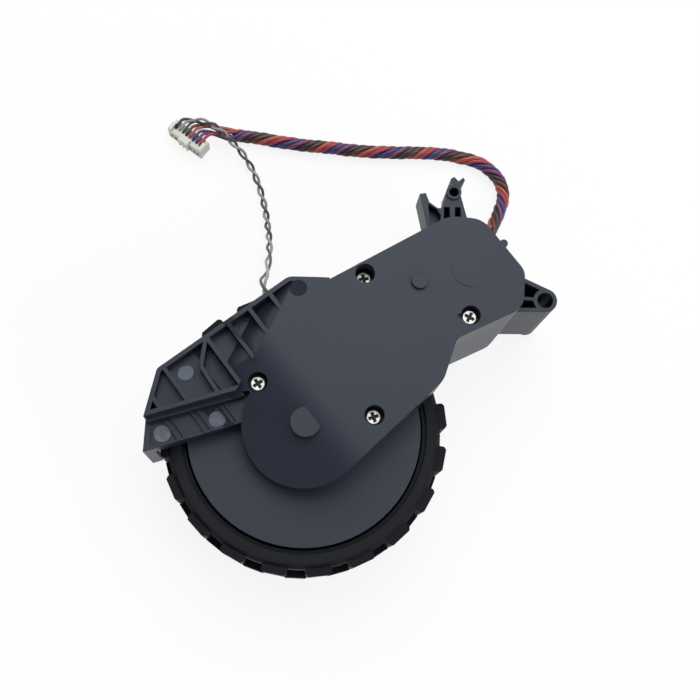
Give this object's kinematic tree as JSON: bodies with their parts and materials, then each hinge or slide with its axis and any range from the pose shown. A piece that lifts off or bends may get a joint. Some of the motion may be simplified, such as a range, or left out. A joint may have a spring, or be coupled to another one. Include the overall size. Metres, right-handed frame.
{
  "type": "robot vacuum wheel module",
  "caption": "Geared drive wheel on a swing arm for a robot vacuum cleaner, with a lugged tyre, a ribbed wing, a pivot eye, spring hooks and a wire loom with a plug.",
  "frame": {"origin": "middle of the wheel's outer face, on the wheel axis", "axes": "+Z along the wheel axis, from the wheel's outer face towards the gearbox cover; X and Y across the wheel, X roughly from the wheel towards the arm's pivot"},
  "size_m": [0.1021, 0.1263, 0.0389],
  "materials": {
    "cover_plastic": "satin",
    "housing_plastic": "satin",
    "tread_rubber": "matt",
    "rim_plastic": "gloss",
    "steel": "bright",
    "nylon": "satin",
    "brass": "satin",
    "bronze": "sintered",
    "black_plastic": "satin",
    "board": "satin",
    "magnet": "matt",
    "loom_wires": "satin",
    "pair_wires": "satin",
    "plug_plastic": "satin",
    "button_plastic": "satin"
  },
  "bodies": {
    "arm": {"gearbox_cover": "cover_plastic", "gearbox_housing": "housing_plastic", "motor_cap": "housing_plastic", "cover_screws": "steel", "motor_can": "steel", "motor_end_cap": "black_plastic", "motor_terminals": "brass", "motor_screws": "steel", "encoder_board": "board", "gear_pins": "steel", "wheel_bearing": "steel", "shaft_bush": "bronze", "drop_switch": "black_plastic", "motor_loom": "loom_wires", "switch_pair": "pair_wires", "loom_plug": "plug_plastic"},
    "rotor": {"motor_shaft": "steel", "motor_pinion": "brass", "encoder_magnet": "magnet"},
    "first": {"first_gear": "nylon"},
    "second": {"second_gear": "nylon"},
    "third": {"third_gear": "nylon"},
    "wheel": {"output_gear": "nylon", "wheel_shaft": "steel", "wheel_rim": "rim_plastic", "wheel_tyre": "tread_rubber", "wheel_screw": "steel", "hub_cap": "cover_plastic"},
    "button": {"switch_button": "button_plastic"}
  },
  "joints": [
    {"name": "wheel_spin", "type": "hinge", "parent": "arm", "child": "wheel", "pos_m": [0, 0, 0.028], "axis": [0, 0, 1], "continuous": true},
    {"name": "third_spin", "type": "hinge", "parent": "arm", "child": "third", "pos_m": [0.00756, 0.01364, 0.028], "axis": [0, 0, 1], "continuous": true},
    {"name": "second_spin", "type": "hinge", "parent": "arm", "child": "second", "pos_m": [0.019, 0.02288, 0.028], "axis": [0, 0, 1], "continuous": true},
    {"name": "first_spin", "type": "hinge", "parent": "arm", "child": "first", "pos_m": [0.02713, 0.0344, 0.028], "axis": [0, 0, 1], "continuous": true},
    {"name": "motor_spin", "type": "hinge", "parent": "arm", "child": "rotor", "pos_m": [0.03828, 0.0359, 0.028], "axis": [0, 0, 1], "continuous": true},
    {"name": "switch_press", "type": "slide", "parent": "arm", "child": "button", "axis": [0.8253, -0.5647, 0], "range_m": [0, 0.0006], "stiffness_N_per_m": 300, "springref_m": -0.0002}
  ],
  "couplings": [
    {"joint": "third_spin", "follows": "wheel_spin", "ratio": -2.25},
    {"joint": "second_spin", "follows": "wheel_spin", "ratio": 5.625},
    {"joint": "first_spin", "follows": "wheel_spin", "ratio": -16.406},
    {"joint": "motor_spin", "follows": "wheel_spin", "ratio": 45.117}
  ]
}
